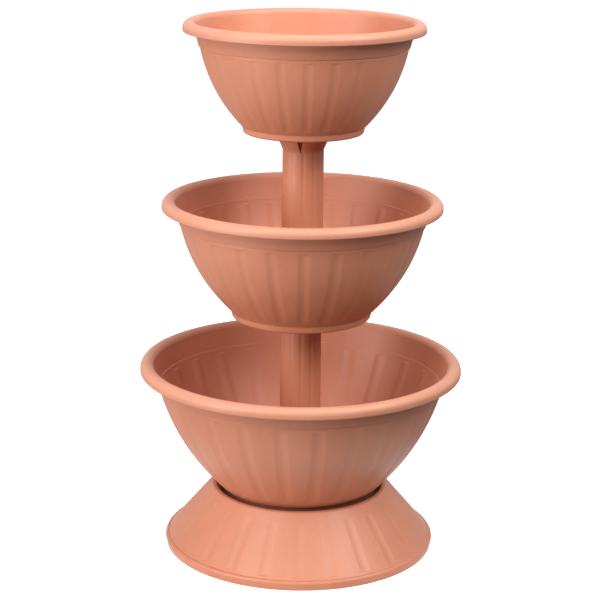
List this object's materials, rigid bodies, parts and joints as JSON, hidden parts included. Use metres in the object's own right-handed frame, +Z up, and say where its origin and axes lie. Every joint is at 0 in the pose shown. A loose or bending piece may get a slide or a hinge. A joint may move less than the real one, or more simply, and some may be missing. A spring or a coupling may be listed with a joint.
{
  "type": "vertical planter tower",
  "caption": "Free-standing plastic planter tower: round fluted bowls on a central column over a conical base, stacked so that each tier lifts off.",
  "frame": {"origin": "centre of the base skirt's foot circle, on the floor", "axes": "+Z up along the column, -Y towards the front"},
  "size_m": [0.4, 0.3998, 0.659],
  "materials": {
    "terracotta_plastic": "terracotta coloured moulded polypropylene, matt with a faint satin sheen"
  },
  "bodies": {
    "base": {"base_skirt": "terracotta_plastic"},
    "bottom_tier": {"bottom_bowl": "terracotta_plastic"},
    "lower_post": {"lower_column": "terracotta_plastic"},
    "middle_tier": {"middle_bowl": "terracotta_plastic"},
    "upper_post": {"upper_column": "terracotta_plastic"},
    "top_tier": {"top_bowl": "terracotta_plastic"}
  },
  "joints": [
    {"name": "bottom_tier_lift", "type": "slide", "parent": "base", "child": "bottom_tier", "axis": [0, 0, 1], "range_m": [0, 0.05]},
    {"name": "lower_post_lift", "type": "slide", "parent": "bottom_tier", "child": "lower_post", "axis": [0, 0, 1], "range_m": [0, 0.16]},
    {"name": "middle_tier_lift", "type": "slide", "parent": "lower_post", "child": "middle_tier", "axis": [0, 0, 1], "range_m": [0, 0.05]},
    {"name": "upper_post_lift", "type": "slide", "parent": "middle_tier", "child": "upper_post", "axis": [0, 0, 1], "range_m": [0, 0.14]},
    {"name": "top_tier_lift", "type": "slide", "parent": "upper_post", "child": "top_tier", "axis": [0, 0, 1], "range_m": [0, 0.05]}
  ]
}
